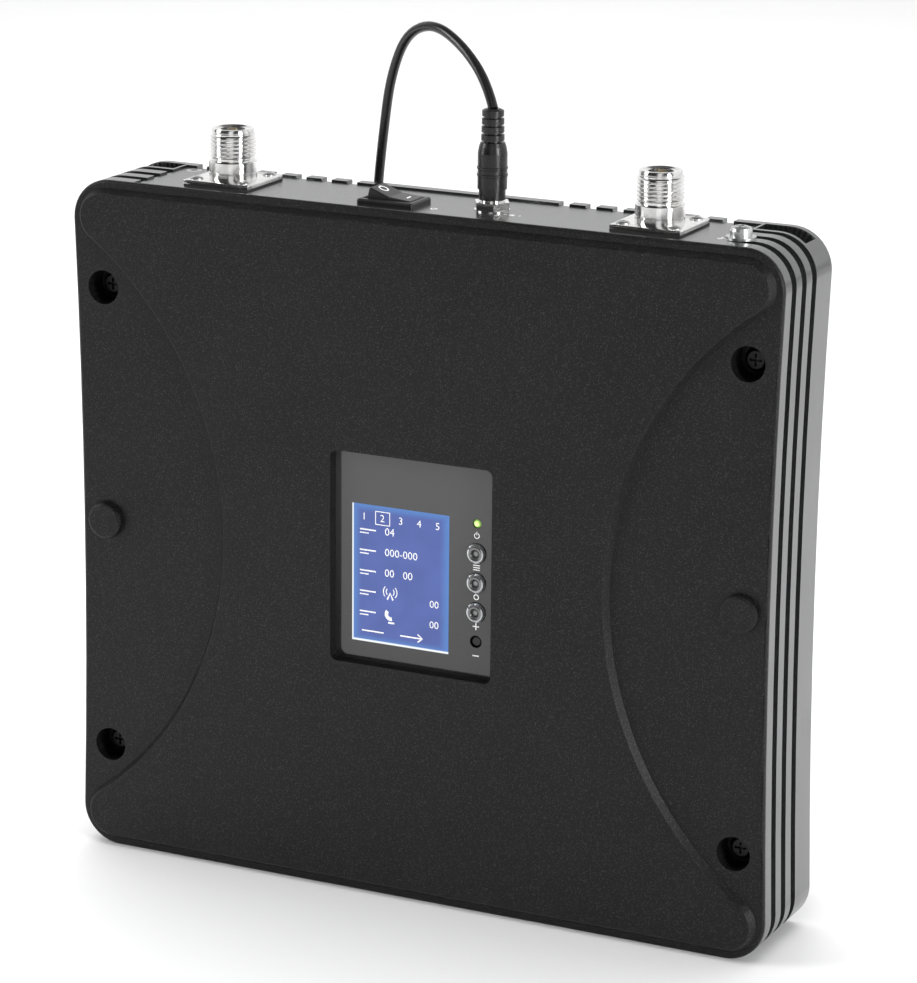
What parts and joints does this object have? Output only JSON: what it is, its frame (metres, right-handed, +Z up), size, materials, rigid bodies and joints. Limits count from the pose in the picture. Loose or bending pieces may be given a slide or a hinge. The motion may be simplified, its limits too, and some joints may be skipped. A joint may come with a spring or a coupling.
{
  "type": "cellular signal booster",
  "caption": "Flat black box with finned back, hourglass front with screen and keys, coaxial connectors, rocker switch and mains lead on top.",
  "frame": {"origin": "middle of the housing's bottom face, measured without the loose power cord and adapter", "axes": "+X to the right seen from the front, +Y from the front cover to the finned back, +Z up"},
  "size_m": [0.264, 0.1008, 0.3014],
  "materials": {
    "anodised_aluminium": "black anodising with a satin sheen",
    "black_plastic": "fine black texture",
    "clear_plastic": "clear, glossy",
    "dark_plastic": "moulded, plain",
    "green_plastic": "tinted and clear",
    "circuit_board": "solder mask",
    "seal_rubber": "plain",
    "white_plastic": "plain",
    "brass": "gold plated or bare",
    "plated_metal": "bright plating",
    "steel": "plain zinc"
  },
  "bodies": {
    "housing": {"adapter_housing": "black_plastic", "adapter_prongs": "brass", "adapter_relief": "black_plastic", "board_screws": "steel", "bottom_panel": "anodised_aluminium", "bottom_panel_screws": "steel", "cover_plug_left": "black_plastic", "cover_plug_right": "black_plastic", "cover_screws": "steel", "display_board": "circuit_board", "display_ribbon": "dark_plastic", "display_screws": "steel", "display_spacers": "steel", "display_window": "clear_plastic", "duplexers": "steel", "earth_lock_washer": "steel", "earth_screw": "steel", "earth_washer": "steel", "front_cover": "black_plastic", "housing_shell": "anodised_aluminium", "key_switches": "dark_plastic", "lcd_backlight": "dark_plastic", "lcd_glass": "clear_plastic", "main_board": "circuit_board", "pigtail_left": "brass", "pigtail_right": "brass", "plug_barrel": "plated_metal", "plug_grip": "black_plastic", "port_left_body": "plated_metal", "port_left_contact": "brass", "port_left_insulator": "white_plastic", "port_left_screws": "steel", "port_left_seal": "seal_rubber", "port_right_body": "plated_metal", "port_right_contact": "brass", "port_right_insulator": "white_plastic", "port_right_screws": "steel", "port_right_seal": "seal_rubber", "power_cord": "black_plastic", "power_cord_coil": "black_plastic", "power_cord_tail": "black_plastic", "power_leads": "black_plastic", "power_module": "dark_plastic", "power_socket": "dark_plastic", "run_led": "green_plastic", "shield_cans": "steel", "socket_nut": "plated_metal", "socket_pin": "brass", "socket_washer": "plated_metal", "switch_body": "black_plastic", "switch_terminals": "brass", "thermal_pads": "dark_plastic", "top_panel": "anodised_aluminium", "top_panel_screws": "steel"},
    "rocker": {"rocker": "black_plastic"},
    "key_menu": {"key_menu": "clear_plastic"},
    "key_set": {"key_set": "clear_plastic"},
    "key_increase": {"key_increase": "clear_plastic"},
    "key_decrease": {"key_decrease": "dark_plastic"}
  },
  "joints": [
    {"name": "power_rocker", "type": "hinge", "parent": "housing", "child": "rocker", "pos_m": [-0.0148, -0.0054, 0.2418], "axis": [0, 1, 0], "range_deg": [-26, 0]},
    {"name": "key_menu_press", "type": "slide", "parent": "housing", "child": "key_menu", "axis": [0, 1, 0], "range_m": [0, 0.0004], "stiffness_N_per_m": 800},
    {"name": "key_set_press", "type": "slide", "parent": "housing", "child": "key_set", "axis": [0, 1, 0], "range_m": [0, 0.0004], "stiffness_N_per_m": 800},
    {"name": "key_increase_press", "type": "slide", "parent": "housing", "child": "key_increase", "axis": [0, 1, 0], "range_m": [0, 0.0004], "stiffness_N_per_m": 800},
    {"name": "key_decrease_press", "type": "slide", "parent": "housing", "child": "key_decrease", "axis": [0, 1, 0], "range_m": [0, 0.0004], "stiffness_N_per_m": 800}
  ]
}
